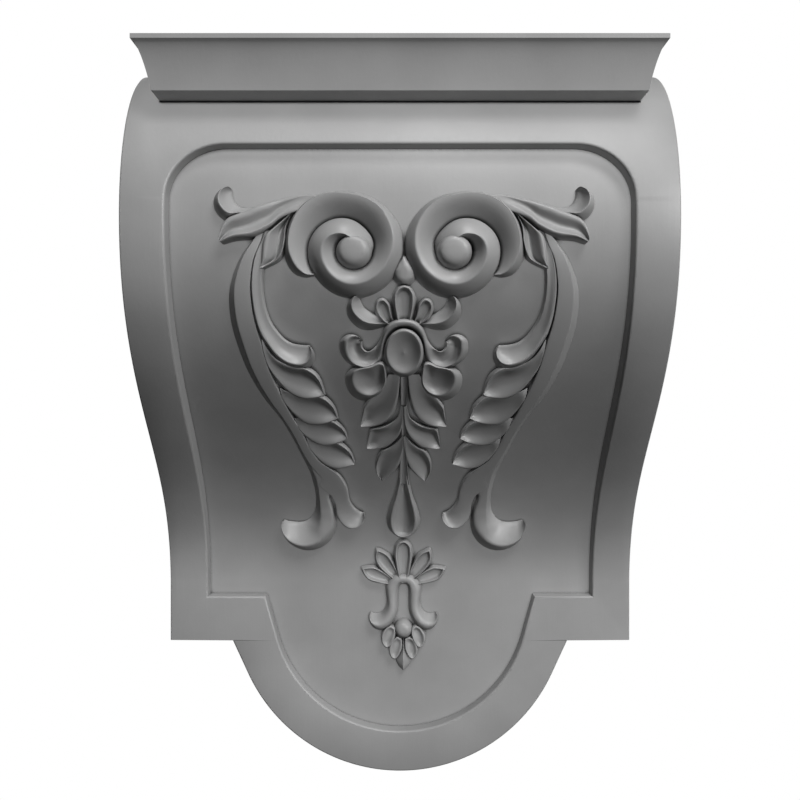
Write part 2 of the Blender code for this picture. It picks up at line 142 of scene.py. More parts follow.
KNOBBED = (
    (1, 0.1), (0.97, 0.45), (0.91, 0.6), (0.83, 0.57), (0.66, 0.42), (0.4, 0.34), (0.15, 0.37),
    (0.02, 0.55), (-0.08, 0.8), (-0.18, 0.95), (-0.3, 1), (-0.55, 0.93), (-0.8, 0.7), (-0.95, 0.38),
    (-1, 0.05),
)
LIPPED = (
    (1, 0.1), (0.95, 0.55), (0.88, 0.76), (0.78, 0.78), (0.55, 0.62), (0.2, 0.5), (-0.2, 0.52),
    (-0.5, 0.68), (-0.75, 0.92), (-0.86, 1), (-0.94, 0.8), (-1, 0.1),
)
FLAT = (
    (1, 0), (0.85, 0.27), (0.7, 0.54), (0.55, 0.8), (0.46, 0.93), (0.38, 0.99), (0.1, 1), (-0.3, 1),
    (-0.7, 0.97), (-0.88, 0.85), (-0.97, 0.5), (-1, 0.1),
)
LEVEL = (
    (1, 0.1), (0.98, 0.4), (0.95, 0.75), (0.91, 0.96), (0.8, 1), (0.4, 0.97), (0, 0.93), (-0.4, 0.9),
    (-0.8, 0.9), (-0.95, 0.8), (-1, 0.2),
)
LEAFED = (
    (1, 0.1), (0.98, 0.4), (0.95, 0.75), (0.91, 0.96), (0.84, 1), (0.66, 0.94), (0.4, 0.82), (0.1, 0.67),
    (-0.2, 0.56), (-0.4, 0.55), (-0.55, 0.66), (-0.66, 0.84), (-0.74, 0.94), (-0.82, 0.95), (-0.9, 0.82),
    (-0.96, 0.6), (-1, 0.2),
)
CRESTED = (
    (1, 0.2), (0.98, 0.6), (0.9, 0.82), (0.7, 0.9), (0.45, 0.86), (0.2, 0.72), (0, 0.63), (-0.2, 0.66),
    (-0.45, 0.84), (-0.6, 0.97), (-0.7, 1), (-0.8, 0.96), (-0.9, 0.86), (-0.97, 0.62), (-1, 0.1),
)
FOLDED = (
    (1, 0.1), (0.97, 0.6), (0.85, 0.88), (0.65, 1), (0.4, 0.95), (0.1, 0.72), (-0.15, 0.5), (-0.35, 0.42),
    (-0.55, 0.55), (-0.75, 0.88), (-0.87, 1), (-0.95, 0.85), (-1, 0.1),
)

# Profiles of the closed forms, from the outline inwards: inset share, height share
PETAL = (
    (0, 0.2), (0.05, 0.5), (0.12, 0.76), (0.2, 0.93), (0.28, 1), (0.36, 0.97), (0.43, 0.84), (0.48, 0.62),
    (0.54, 0.5), (0.66, 0.45), (0.84, 0.42), (1, 0.42),
)
DISHED = (
    (0, 0.2), (0.05, 0.5), (0.12, 0.76), (0.2, 0.93), (0.28, 1), (0.36, 0.98), (0.43, 0.88), (0.5, 0.74),
    (0.6, 0.6), (0.74, 0.48), (0.88, 0.42), (1, 0.4),
)
LOBED = (
    (0, 0.1), (0.04, 0.4), (0.1, 0.7), (0.17, 0.92), (0.23, 1), (0.29, 0.98), (0.42, 0.87), (0.6, 0.75),
    (0.8, 0.68), (1, 0.66),
)
BUTTON = (
    (0, 0.5), (0.02, 0.75), (0.07, 0.94), (0.13, 1), (0.2, 0.99), (0.4, 0.9), (0.6, 0.84), (0.8, 0.82),
    (0.95, 0.83), (1, 0.84),
)
DOMED = ((0, 0.2), (0.01, 0.36), (0.06, 0.56), (0.2, 0.78), (0.4, 0.92), (0.7, 0.99), (1, 1))
EYED = ((0, 0.3), (0.02, 0.5), (0.07, 0.7), (0.16, 0.86), (0.32, 0.95), (0.6, 0.99), (1, 1))
BUDDED = ((0, 0.4), (0.04, 0.7), (0.14, 0.93), (0.27, 1), (0.4, 0.97), (0.7, 0.84), (1, 0.8))
RIDGED = ((0, 0.2), (0.1, 0.5), (0.5, 0.76), (0.9, 0.97), (1, 1))

# Edges of the strips in mm: plus edge out from the axis and up, minus edge out and up, height
STEM = (
    (54.7, 78.9, 51.3, 80.6, 4.4), (58.5, 74.4, 53.5, 74.3, 4.8), (61.7, 69.9, 55.5, 69.6, 5),
    (64.9, 62.7, 56.8, 63.4, 5), (66.4, 55.8, 57.3, 56.5, 5), (66.3, 46.8, 56.4, 47.1, 5),
    (64.5, 37.5, 54.4, 38.2, 5), (61.7, 28, 52.3, 28.4, 5), (57, 18.2, 48.6, 18.2, 5),
    (51.2, 9.6, 45.1, 9.8, 5), (47.5, 2.4, 42, 3.7, 5), (44.5, -5, 39.3, -3.2, 5),
    (42.3, -10.4, 35.6, -9.1, 5), (40.1, -15.2, 31.1, -12.5, 5), (37.2, -19.8, 27.4, -15.9, 5),
    (34.1, -23.2, 25.2, -19.9, 5), (31.4, -25.6, 24.3, -23.4, 5), (30.1, -29.6, 23.9, -27, 5.2),
    (29.6, -34.6, 22.9, -29.3, 5.8), (27.5, -38.4, 21.5, -31.1, 6.6), (24.4, -40.6, 19.9, -32.5, 7.2),
    (20.8, -40.2, 18.8, -33, 7.4), (18.3, -38.1, 18, -33.2, 7.2), (17.2, -35.5, 17.7, -33.2, 6.6),
    (17.4, -34.1, 17.5, -33.3, 6),
)
HOOK = (
    (42.3, -10.4, 33.5, -14.6, 4.8), (40.7, -14.8, 32, -19.6, 4.9), (39.7, -19.5, 31.8, -23.4, 4.9),
    (39.1, -22.8, 32.4, -25.6, 4.9), (38.9, -26.4, 32.2, -28, 5), (39.1, -29.8, 31.2, -31.3, 5.2),
    (39.7, -32.5, 30.5, -34.3, 5.6), (40.8, -34.6, 30.2, -37.7, 6), (42.4, -36.4, 30.5, -41, 6.6),
    (44.2, -37.4, 31.7, -44.3, 7.2), (45.6, -37.7, 33.9, -47.5, 7.6), (46.9, -37.8, 37.1, -49.9, 7.9),
    (48.2, -37.8, 40.9, -51.3, 8), (49.3, -37.7, 44.7, -51.4, 8), (50.5, -37.5, 48.4, -50.2, 7.9),
    (51.5, -37.4, 51.4, -48.1, 7.7), (52.3, -37.1, 53.4, -45.4, 7.4), (52.9, -36.9, 54.6, -42.1, 7),
    (53.3, -36.8, 54.8, -39.3, 6.5), (53.5, -36.8, 54.2, -37.5, 6),
)
BAND = (
    (51.3, 80.6, 49.6, 79.5, 4.4), (52.8, 75.8, 51.3, 75, 5), (55, 70.9, 52, 70.9, 5.6),
    (56.4, 65.7, 52.6, 66.1, 5.8), (57.1, 59.8, 53, 61.3, 6), (57.1, 54.3, 52.9, 56.1, 6.2),
    (56.5, 47.9, 52, 50.7, 6.6), (55, 41.8, 50.5, 46.6, 7.2), (52.6, 37.4, 48.4, 43.4, 7.8),
    (49.8, 33.2, 45.9, 40.6, 8.4), (46.5, 30.3, 43.1, 39, 9), (43, 28.8, 40.3, 38.4, 9.2),
    (39.9, 28.6, 38.4, 38.2, 9.4), (37.4, 29.7, 37, 38.2, 9.4), (35.6, 31.8, 36.5, 38.2, 9.4),
    (34.9, 34, 36.4, 38.1, 9.2), (35.1, 35.9, 36.4, 38, 8.8), (35.8, 37.2, 36.4, 38, 8),
)
FAR_CURL = (
    (55.8, 84.6, 55.9, 88.8, 5), (59.8, 84.8, 58.1, 88.7, 5.4), (62.7, 84.5, 59.8, 88.7, 6),
    (65.8, 83.7, 61.5, 89.3, 6.6), (68.6, 85.1, 62.7, 90.3, 7), (70.6, 87.7, 63.4, 91.4, 7.2),
    (71.2, 90.3, 63.9, 92.6, 7.2), (70.8, 92.5, 64.1, 93.8, 7), (69.4, 94.5, 64.1, 94.8, 6.6),
    (67.5, 95.7, 64.1, 95.4, 6), (65.9, 96.1, 64.4, 95.7, 5.4), (64.8, 96, 64.6, 95.8, 4.6),
)
UPPER_CURL = (
    (6.7, 45.5, 5.9, 47.1, 5), (10.4, 44.3, 8.1, 48.5, 5.4), (13.8, 43.8, 10.3, 49.5, 6),
    (17.1, 44.5, 12.1, 50.3, 6.6), (20, 46.7, 13.7, 51.2, 7), (21.6, 49.3, 15, 52.2, 7.2),
    (21.9, 51.9, 15.8, 53.3, 7.2), (21.1, 54.2, 16.4, 54.6, 6.8), (19.4, 55.8, 16.9, 55.5, 6.2),
    (18.3, 56.1, 17.2, 55.9, 5.4),
)
COLLAR = (
    (-0.4, 48, -0.4, 44.3, 7), (3, 47.7, 2.5, 43.9, 7), (5.3, 46.6, 4.9, 42.5, 6.8),
    (7.1, 45.1, 6.4, 40.5, 6.4), (8.1, 43.2, 7.3, 37.9, 6), (8.9, 41.1, 7.8, 35.4, 5.8),
    (9.9, 39.3, 8.6, 33.2, 5.8), (11, 37.9, 10.2, 31.2, 6), (12.3, 36.7, 12.5, 30, 6.4),
    (13.6, 36, 15.1, 29.4, 6.8), (14.7, 36.2, 17.7, 29.6, 7.2), (15.5, 36.8, 20.7, 30.7, 7.6),
    (15.9, 37.4, 23.2, 32.7, 7.8), (16.1, 37.9, 24.8, 35.4, 8), (16.1, 38.3, 25.1, 37.9, 8),
    (16.1, 38.7, 24.6, 40, 8), (16, 38.9, 23, 41.6, 7.8), (16, 39.2, 21, 42.3, 7.6),
    (15.9, 39.4, 19, 42.1, 7.2), (15.8, 39.5, 17.2, 41.1, 6.6), (15.8, 39.5, 16.1, 40, 6),
)
PENDANT_ARCH = (
    (-0.4, -61.9, -0.4, -66.6, 5.5), (3.5, -62.3, 1.3, -67.1, 5.5), (6.3, -64.3, 2.1, -68.8, 5.5),
    (8.1, -67.1, 2.3, -71.8, 5.5), (8, -71, 2.3, -75.7, 5.5), (7.6, -74.8, 2.6, -79.6, 5.8),
    (8.4, -77.6, 3.9, -83, 6), (9.9, -79.6, 6.5, -86.2, 6.3), (11.6, -80.2, 9.9, -87.9, 6.4),
    (12.9, -80.2, 12.9, -87.3, 6.4), (13.8, -80, 15, -85.2, 6.2), (14.3, -79.7, 15.9, -82.3, 5.8),
    (14.5, -79.5, 15.6, -80.1, 5.2),
)
UPPER_LEAF = (
    (30.5, 92.6, 35.4, 86.4, 6), (35.2, 93.2, 38.2, 86.5, 6.1), (39.9, 92.7, 41.4, 85.8, 6.2),
    (45.6, 91.6, 45.9, 83.6, 6.2), (49.9, 90.3, 49, 80.7, 6.8), (54.1, 89, 51.9, 78.8, 7.2),
    (58.1, 87.3, 54.7, 77.5, 7.4), (61.8, 85.9, 57.6, 76.8, 7.6), (64.4, 84.8, 60.5, 76.6, 7.6),
    (66.1, 83.4, 62.7, 76.4, 7.6), (67.4, 81.2, 64.6, 76, 7.6), (68.2, 78.6, 66.5, 75.4, 7.4),
    (68.4, 76.6, 67.6, 75.2, 7.2), (68.1, 75.7, 67.9, 75.4, 7),
)
SMALL_LEAF = (
    (40.2, 87.8, 39.9, 87.5, 5), (43, 85.1, 41.6, 85.4, 5.4), (46.2, 82.4, 42.6, 83.1, 6),
    (49.3, 79.9, 43.2, 81.2, 6.6), (51.5, 78.1, 43.4, 78.9, 7), (52.4, 76.1, 43.5, 76.9, 7),
    (52.9, 74.1, 43.8, 75, 7), (53.1, 72.2, 44.3, 73, 7), (53.2, 70.5, 45, 71.2, 7),
    (53.3, 68.8, 46, 69.4, 7), (53.4, 67.2, 48.1, 68, 7), (53.5, 66.2, 50.7, 66.8, 6.8),
    (53.4, 65.7, 53.1, 65.8, 6.6),
)
SCROLL_LEAVES = (
    (
        (54.6, 40.2, 54.3, 40.1, 4), (54.1, 35.3, 52.2, 36.1, 5.4), (52.8, 29.6, 49.4, 33.1, 5.7),
        (50.2, 24.8, 45.5, 31.2, 6), (47.2, 20.9, 41.3, 30.4, 6.3), (43.8, 18.3, 37.8, 30, 6.5),
        (40.2, 17.1, 34.7, 28.1, 6.7), (36.7, 17.3, 32.9, 25.2, 6.8), (33.7, 18.1, 32, 21.8, 6.8),
        (32.2, 18.8, 31.7, 20, 6.8), (31.7, 19.1, 31.6, 19.3, 6.8),
    ),
    (
        (49.4, 21.8, 49.1, 21.7, 3.4), (48.7, 17.5, 46.5, 20.5, 5.2), (46.3, 12.8, 42.4, 20.3, 5.4),
        (43.3, 9.1, 37.9, 20.2, 5.7), (39.9, 6.8, 33.8, 19.7, 6), (36, 6.4, 30.7, 17.9, 6.3),
        (32.2, 7, 28.3, 15, 6.5), (29.3, 8.2, 27.3, 11.9, 6.5), (27.7, 9.1, 27, 10.3, 6.5),
        (27, 9.4, 26.9, 9.6, 6.5),
    ),
    (
        (45.2, 9.8, 44.9, 9.6, 3.4), (43.5, 5.2, 40.9, 9.4, 5.1), (40.9, 1.4, 36.4, 9.8, 5.4),
        (37.8, -1.1, 32.2, 10, 5.7), (34.1, -2.5, 29, 9.2, 6), (30, -2.1, 26.3, 7.2, 6.2),
        (26.8, -1, 24.5, 4.7, 6.3), (24.5, 0.2, 23.7, 2.5, 6.3), (23.6, 0.9, 23.5, 1.1, 6.3),
    ),
    (
        (40.9, 1.5, 40.5, 1.3, 3.4), (40, -2.8, 37.2, 0.9, 5), (37.8, -7, 33.4, 1.1, 5.2),
        (35, -10.2, 29.5, 0.9, 5.5), (31.3, -12.4, 26.7, -0.4, 5.8), (27.5, -12.9, 24.1, -2.5, 6),
        (24.2, -11.9, 22.3, -5.1, 6.2), (21.9, -10.9, 21.2, -8.4, 6.2), (21, -10.6, 20.9, -10.3, 6.2),
    ),
)
DROP_LEAVES = (
    (
        (1.4, 27, 6.2, 27, 5), (1.7, 21.8, 8.6, 23.6, 5.3), (2.4, 16.5, 11.9, 20.2, 5.5),
        (3.9, 11.7, 14.2, 17.8, 5.7), (6.4, 8.6, 15.5, 16, 5.9), (9.5, 6.6, 16.5, 14.3, 6),
        (12.7, 5.8, 16.8, 11.7, 6), (15.7, 5.8, 17.3, 8.7, 6), (17.3, 6, 17.6, 6.6, 6),
        (17.5, 6.2, 17.6, 6.3, 6),
    ),
    (
        (0.1, 14.2, 1.2, 14.7, 4.7), (0.2, 9.2, 2.5, 10.1, 4.8), (0.8, 5.2, 5.1, 7.8, 5),
        (2, 2, 8.3, 6.4, 5.2), (4.3, -0.8, 11.6, 5.8, 5.4), (7.1, -3, 13.9, 5.4, 5.5),
        (10.2, -3.8, 14.7, 2.8, 5.5), (13.2, -3.9, 15.2, -0.4, 5.5), (15, -3.5, 15.5, -2.8, 5.5),
        (15.4, -3.3, 15.5, -3.2, 5.5),
    ),
    (
        (0, 1.6, 0.5, 2.1, 4.4), (0.2, -3.3, 2.8, -0.4, 4.5), (0.8, -7.3, 6.2, -2.8, 4.7),
        (1.7, -10.8, 9, -3.9, 4.9), (3.4, -13.5, 11, -6.5, 5), (5.6, -15.7, 12.2, -10.6, 5),
        (7.6, -17.3, 11.8, -14.2, 5), (8.7, -18, 10.6, -16.5, 5), (9.2, -18.4, 9.4, -18.2, 5),
    ),
)
DROP_STEM = (
    (1.7, 30, -1.7, 30, 4.2), (1.5, 19.5, -1.5, 19.5, 4.2), (1.1, 7, -1.1, 7, 4.2),
    (1.1, -3, -1.1, -3, 4.4), (1.7, -9, -1.7, -9, 4.7), (2.1, -14.5, -2.1, -14.5, 5),
    (2.8, -20, -2.8, -20, 4.9),
)

# Closed forms in mm: out, up, half-width and height along their middle
TEARDROP = (
    (0, -9, 1.2, 3.2), (0, -14, 1.8, 4.6), (0, -19.4, 2.8, 5.4), (0, -25.9, 4.4, 5.8), (0, -31.9, 6.6, 6.2),
    (0, -36.5, 7.6, 6.4), (0, -40.5, 6.9, 6.4), (0, -43.6, 4.4, 6.4), (0, -45.1, 0.4, 6.4),
)
SIDE_PETAL = (
    (4.4, 46, 1, 5.2), (6, 47.6, 2.1, 5.6), (7.2, 49.4, 2.9, 6), (8, 51.5, 3.2, 6.2), (8.3, 53.7, 2.7, 6.2),
    (8.1, 55.7, 0.3, 6.2),
)
CENTRE_PETAL = (
    (0, 45.6, 2.6, 6), (0, 49, 3.7, 6.2), (0, 52.4, 4.5, 6.5), (0, 55.8, 4.6, 6.6), (0, 58.8, 3.2, 6.6),
    (0, 60.4, 0.4, 6.6),
)
BEAD = (
    (0, 59.6, 0.3, 6.6), (0, 60.6, 2.6, 6.6), (0, 62.6, 4.1, 6.6), (0, 65, 4.3, 6.6), (0, 67.4, 3.2, 6.6),
    (0, 69.6, 1.6, 6.6), (0, 71, 0.3, 6.6),
)
PENDANT_TOP_PETAL = (
    (0, -66, 1, 5.4), (0, -62, 2.9, 5.5), (0, -57.5, 4, 5.5), (0, -53, 4.6, 5.3), (0, -49.4, 4.1, 5),
    (0, -46.9, 2.4, 4.8), (0, -45.8, 0.4, 4.7),
)
PENDANT_PETALS = (
    (
        (2.2, -65, 0.8, 4.4), (4.8, -61.4, 2.7, 4.7), (7.2, -58.2, 3.7, 5), (9.4, -55, 3.8, 5.2),
        (11.2, -52, 2.2, 5.3), (12.3, -50, 0.3, 5.3),
    ),
    (
        (3.6, -66.6, 0.8, 4.2), (7.4, -64.6, 2.4, 4.5), (11, -63, 3.5, 4.8), (14.4, -61.6, 3.7, 5),
        (17.4, -60.2, 2.1, 5.1), (19.4, -59.2, 0.3, 5.1),
    ),
)
BUDS = (
    (
        (4.6, -85.4, 1.2, 5), (5.8, -87.6, 2.8, 5.2), (6.9, -90.2, 3.3, 5.4), (7.4, -93, 2.6, 5.4),
        (7.5, -95.6, 0.3, 5.4),
    ),
    (
        (1.6, -90.4, 1.2, 4.6), (2.7, -92.8, 2.6, 4.8), (3.6, -95.6, 3.2, 5), (4, -98.2, 2.5, 5),
        (4.1, -100.9, 0.3, 5),
    ),
)
LAST_BUD = (
    (0, -91, 0.5, 4.2), (0, -96.4, 1.9, 4.6), (0, -99.4, 3.2, 4.8), (0, -102, 3.3, 4.8),
    (0, -104.3, 2.1, 4.7), (0, -105.9, 0.2, 4.4),
)

# Round forms in mm: centre out and up, half-width, half-height, height
BOSS = (0, 35.1, 7.6, 9.1, 9)
BALL = (0, -87, 4.3, 4.3, 6.6)
EYE = (18.6, 71.8, 6.7, 6.3, 10.8)

# Outline of the lobe under a knob in mm, its middle with its height, and how far its hollow is shifted
LOBE = (
    (7.5, 31.4), (6.9, 27.9), (6.7, 24.4), (7.6, 21.4), (9.7, 18.8), (12.4, 17.2), (15.3, 16.6),
    (18.6, 17.3), (21.4, 19.3), (23, 22.2), (23.4, 25.1), (22.7, 27.6), (20.7, 29.4), (17.3, 30.3),
    (13.6, 30.9), (9.8, 32.4),
)
LOBE_CORE = (11.4, 24.3, 7.4)
LOBE_SHIFT = (-1.7, 1)

# Volute in mm: its centre, then places in quarter turns with the outer radius, crest radius and height
VOLUTE_CENTRE = (20.7, 74.7)
VOLUTE = (
    (-0.45, 17.2, 17, 5), (-0.4, 19.9, 18.9, 6.4), (-0.29, 23.1, 20.6, 7.4), (-0.15, 24.2, 21.5, 8),
    (0, 23.8, 21.9, 8.4), (0.5, 22.2, 21, 9), (1, 19.6, 17.9, 9.3), (1.5, 19.6, 17.4, 9.3),
    (2, 20.6, 16.6, 9.2), (2.5, 20.3, 15.7, 9.2), (3, 19.2, 14.7, 9.3), (3.5, 17.2, 11.8, 9.5),
    (4, 14.9, 8.9, 9.8), (4.5, 11.8, 4.6, 10.1), (5, 9.6, 2.4, 10.2), (5.5, 8.6, 2.2, 9.8),
    (6, 9.5, 3, 8.8), (6.5, 9, 4, 7.8), (7, 8, 5, 6.8),
)

# Inner radius of the channel at the last quarter turns, and the least it may be, in mm
VOLUTE_INSIDE = ((3, 4, 4.5), (6.8, 2.9, 0.6))
VOLUTE_HEART = 0.6

# Height of the channel's floor, and how far it runs in under the next coil, in mm
VOLUTE_FLOOR = 0.6
VOLUTE_UNDERLAP = 1.2

# Share of the crest's height at which the shoulder starts, its roundness and the channel's
VOLUTE_SHOULDER = 0.3
SHOULDER_ROUND = 0.65
CHANNEL_DISH = 0.75

# Places of the points across the shoulder and the channel
SHOULDER_SHARES = (0, 0.03, 0.1, 0.2, 0.34, 0.52, 0.72, 0.9, 1)
CHANNEL_SHARES = (0.05, 0.12, 0.22, 0.34, 0.47, 0.6, 0.73, 0.86, 1)


def length(label, about, default):
    return FloatProperty(name=label, description=about, default=default, min=0, unit="LENGTH", precision=4)


def height(label, about, default):
    return FloatProperty(name=label, description=about, default=default, unit="LENGTH", precision=4)


def fineness(label, about, default, least, most):
    return IntProperty(name=label, description=about, default=default, min=least, max=most)


def grey(label, about, shade):
    return FloatVectorProperty(
        name=label, description=about, default=(shade, shade, shade, 1), subtype="COLOR", size=4, min=0, max=1
    )


class OnlayBodySizes(bpy.types.PropertyGroup):
    """Sizes of the bracket's body and its sunk panel."""

    top: height("Top", "Height of the body's top over the middle of its back", BODY_HIGH[2])
    half_width: length("Half-width", "From the middle to a side", BODY_HIGH[0])
    shoulder_height: height("Shoulder height", "Height of the shoulders' underside", -0.091)
    shoulder_inner: length("Shoulder inner half-width", "Where the shoulders meet the tongue", 0.0754)
    tongue_centre: height("Tongue centre", "Height of the tongue's centre", -0.0747)
    tongue_radius: length("Tongue radius", "Outer radius of the tongue", 0.0753)
    thickness: length("Tongue thickness", "From the back to the front of the flat tongue", 0.02)
    belly_height: height("Belly height", "Where the face stands out furthest", 0.085)
    belly_depth: length("Belly depth", "How far the belly stands before the tongue", 0.0925)
    roll_depth: length("Roll depth", "How far the face falls back from the belly to the top", 0.0579)
    tongue_start: height("Tongue start", "Height at which the face runs out into the flat tongue", -0.067)
    belly_pull: length("Belly pull", "How far the belly's roundness reaches down", 0.073)
    tongue_pull: length("Tongue pull", "How far the lower hollow reaches up", 0.063)
    panel_sink: length("Panel sink", "Depth of the panel under the frame", 0.008)
    panel_half_width: length("Panel half-width", "From the middle to the panel's side", 0.0864)
    panel_top: height("Panel top", "Height of the panel's upper edge", 0.1121)
    panel_corner: length("Panel corner radius", "Radius of the panel's upper corners", 0.021)
    panel_step: height("Panel step height", "Height of the steps above the tongue", -0.0713)
    panel_step_inner: length("Panel step half-width", "Where the steps meet the panel's tongue", 0.0605)
    panel_tongue_radius: length("Panel tongue radius", "Radius of the panel's round end", 0.0573)
    lip: length("Lip rounding", "Rounding of the panel's lip", 0.0011)
    arris: length("Arris rounding", "Rounding of the outer edges", 0.0007)


class OnlayCrownSizes(bpy.types.PropertyGroup):
    """Sizes of the crown moulding."""

    half_width: length("Half-width", "From the middle to a side of the block", 0.0917)
    depth: length("Depth", "How far the block stands before the tongue", 0.091)
    back_depth: length("Back depth", "How far its back is before the tongue", 0.030)
    bottom: height("Bottom", "Height of the underside", CROWN_LOW[2])
    cove_top: height("Cove top", "Height at which the cove ends", 0.1483)
    projection: length("Projection", "How far the cove stands out", 0.0063)
    joint: length("Joint", "Width of the open joint round the moulding", 0.0003)
    shadow_gap: length("Shadow gap", "Height of the open joint under the moulding", 0.0005)


class OnlayOrnamentSizes(bpy.types.PropertyGroup):
    """Placing and fineness of the applied ornament."""

    shift: height("Shift", "How far the ornament's axis is right of the body's", 0.0015)
    foot: height("Foot", "Height of the carving's foot over the panel", 0.0002)
    steps: fineness("Steps", "Rings for each span of a line", 5, 1, 20)
    section_points: fineness("Section points", "Points across a section", 32, 8, 80)
    oval_points: fineness("Oval points", "Points round an oval", 72, 8, 200)
    volute_steps: fineness("Volute steps", "Rings round the volute", 170, 20, 400)


class OnlayFinish(bpy.types.PropertyGroup):
    """Colours and roughness of the paint."""

    paint: grey("Paint", "Colour of the satin paint", 0.235)
    thin: grey("Thin paint", "Colour where the paint lies thinner", 0.27)
    # Painted shade: the near-black colour laid into hollows and joints where shade falls
    painted_crevice_shade: grey("Painted shade", "Colour of the painted shade in joints and hollows", 0.012)
    painted_shade_reach: length("Painted shade reach", "How wide a hollow the painted shade reaches into", 0.0022)
    roughness: FloatProperty(name="Roughness", description="Paint's roughness", default=0.42, min=0, max=1)
    floor: grey("Floor", "Colour of the floor", 0.85)


def sizes(group):
    return getattr(bpy.context.scene, group)


def bezier(share, first, second, third, last):
    rest = 1 - share
    return rest**3 * first + 3 * rest**2 * share * second + 3 * rest * share**2 * third + share**3 * last


def face_profile(size):
    """Heights and depths of the front face, from the top of the body down to where the tongue is flat."""
    turn = np.linspace(math.pi / 2, 0, ROLL_STEPS, endpoint=False)
    roll_height = size.belly_height + (size.top - size.belly_height) * np.sin(turn)
    roll_depth = size.belly_depth - size.roll_depth * (1 - np.cos(turn))
    share = np.linspace(0, 1, SWEEP_STEPS)
    upper_pull = size.belly_height - size.belly_pull
    lower_pull = size.tongue_start + size.tongue_pull
    sweep_height = bezier(share, size.belly_height, upper_pull, lower_pull, size.tongue_start)
    sweep_depth = bezier(share, size.belly_depth, size.belly_depth, 0, 0)
    return np.concatenate([roll_height, sweep_height]), np.concatenate([roll_depth, sweep_depth])


class Surfaces:
    """The face and the panel as depths over height."""

    def __init__(self, size):
        heights, depths = face_profile(size)
        rise, run = np.gradient(heights), np.gradient(depths)
        rise[-1], run[-1] = -1, 0
        away = np.hypot(rise, run)
        self.thickness = size.thickness
        self.face_heights, self.face_depths = heights[::-1], depths[::-1]
        self.panel_heights = (heights - size.panel_sink * run / away)[::-1]
        self.panel_depths = (depths + size.panel_sink * rise / away)[::-1]
        self.panel_slopes = np.gradient(self.panel_depths, self.panel_heights)

    def face(self, up):
        return np.interp(up, self.face_heights, self.face_depths)

    def panel(self, up):
        return np.interp(up, self.panel_heights, self.panel_depths)

    def over_panel(self, side, out, up, height):
        """A point of the ornament: out from its axis, up, and height square to the panel's surface."""
        slope = np.interp(up, self.panel_heights, self.panel_slopes)
        forward = self.thickness + self.panel(up) + height * math.hypot(1, slope)
        return Vector((sizes("onlay_ornament").shift + side * out, -forward, up))


def placed(name, builder):
    """An object in the scene with the builder's mesh."""
    mesh = bpy.data.meshes.new(name)
    builder.to_mesh(mesh)
    builder.free()
    made = bpy.data.objects.new(name, mesh)
    bpy.context.scene.collection.objects.link(made)
    return made


def dressed(name, builder, node, sharp_angle):
    """Turns the builder into the piece that stands for a node of the model."""
    piece = placed(name, builder)
    piece.data.shade_smooth()
    piece.data.set_sharp_from_angle(angle=math.radians(sharp_angle))
    piece.data.materials.append(paint_material())
    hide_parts(node)
    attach(piece, BODY)


def noise(tree, place, scale, detail, roughness):
    texture = tree.nodes.new("ShaderNodeTexNoise")
    texture.inputs["Scale"].default_value = scale
    texture.inputs["Detail"].default_value = detail
    texture.inputs["Roughness"].default_value = roughness
    tree.links.new(place, texture.inputs["Vector"])
    return texture.outputs["Fac"]


def remap(tree, value, reach, result=(0, 1)):
    """Stretches a value's reach to the reach of the result."""
    node = tree.nodes.new("ShaderNodeMapRange")
    for name, number in zip(("From Min", "From Max", "To Min", "To Max"), (*reach, *result)):
        node.inputs[name].default_value = number
    tree.links.new(value, node.inputs["Value"])
    return node.outputs["Result"]


def colour_mix(tree, share, second):
    """A Mix node that goes from its first colour to the second one."""
    mix = tree.nodes.new("ShaderNodeMix")
    mix.data_type = "RGBA"
    tree.links.new(share, mix.inputs["Factor"])
    mix.inputs[SECOND_COLOUR].default_value = second
    return mix


def brushed_paint_group():
    """A node group: brushed paint over fine grain, as a mask of thin paint and a height."""
    found = bpy.data.node_groups.get("Brushed paint")
    if found:
        return found
    group = bpy.data.node_groups.new("Brushed paint", "ShaderNodeTree")
    along = group.interface.new_socket("Grain stretch", in_out="INPUT", socket_type="NodeSocketFloat")
    along.default_value = 12
    group.interface.new_socket("Thin mask", in_out="OUTPUT", socket_type="NodeSocketFloat")
    group.interface.new_socket("Height", in_out="OUTPUT", socket_type="NodeSocketFloat")
    nodes, links = group.nodes, group.links
    inside, outside = nodes.new("NodeGroupInput"), nodes.new("NodeGroupOutput")
    place = nodes.new("ShaderNodeTexCoord").outputs["Object"]
    stretch = nodes.new("ShaderNodeCombineXYZ")
    links.new(inside.outputs["Grain stretch"], stretch.inputs["X"])
    links.new(inside.outputs["Grain stretch"], stretch.inputs["Y"])
    stretch.inputs["Z"].default_value = 1
    scaled = nodes.new("ShaderNodeVectorMath")
    scaled.operation = "MULTIPLY"
    links.new(place, scaled.inputs[0])
    links.new(stretch.outputs["Vector"], scaled.inputs[1])
    grain = noise(group, scaled.outputs["Vector"], scale=60, detail=6, roughness=0.6)
    cloud = noise(group, place, scale=26, detail=4, roughness=0.5)
    fine = noise(group, place, scale=900, detail=3, roughness=0.6)
    links.new(remap(group, cloud, (0.35, 0.7)), outside.inputs["Thin mask"])
    mixed = nodes.new("ShaderNodeMix")
    mixed.inputs["Factor"].default_value = 0.35
    links.new(grain, mixed.inputs["A"])
    links.new(fine, mixed.inputs["B"])
    links.new(mixed.outputs["Result"], outside.inputs["Height"])
    return group


